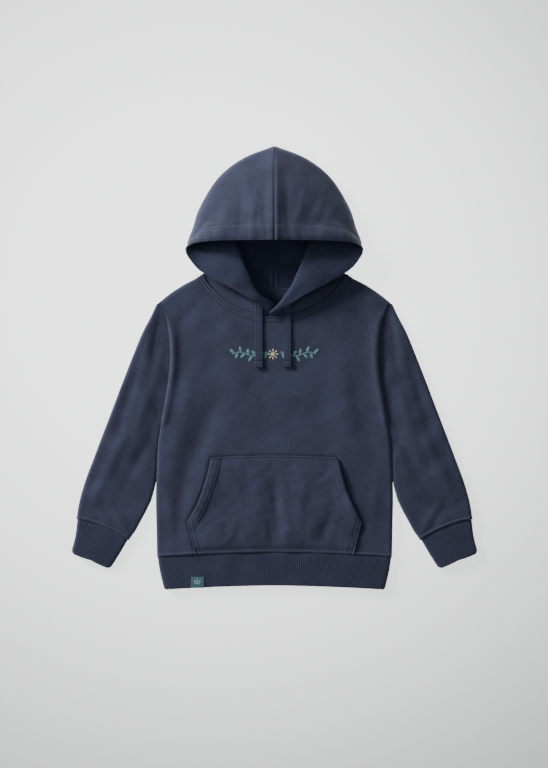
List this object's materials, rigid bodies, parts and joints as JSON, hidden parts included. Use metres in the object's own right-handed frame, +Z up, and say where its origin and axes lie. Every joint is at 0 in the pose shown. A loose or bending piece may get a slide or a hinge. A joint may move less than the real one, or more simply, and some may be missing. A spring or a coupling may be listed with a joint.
{
  "type": "toddler hoodie",
  "caption": "Toddler pullover hoodie laid flat on its back, hood folded over itself, with a front pocket, flat drawcords, rib cuffs and a rib hem.",
  "frame": {"origin": "on the surface that the hoodie lies on, under the middle of its outline", "axes": "+X to the wearer's left, +Y from the hem towards the hood, +Z up out of the front"},
  "size_m": [0.5694, 0.6201, 0.0536],
  "materials": {
    "navy_fleece": "matt brushed sweatshirt fleece",
    "navy_rib": "matt doubled rib knit",
    "navy_tape": "flat woven cotton tape",
    "teal_label": "woven label, slight sheen"
  },
  "bodies": {
    "root": {"front_panel": "navy_fleece", "back_panel": "navy_fleece", "sleeve_left": "navy_fleece", "sleeve_right": "navy_fleece", "cuff_left": "navy_rib", "cuff_right": "navy_rib", "hem_band": "navy_rib", "hood_left": "navy_fleece", "hood_right": "navy_fleece", "kangaroo_pocket": "navy_fleece", "drawcord_left": "navy_tape", "drawcord_right": "navy_tape", "hem_label": "teal_label"}
  },
  "joints": []
}
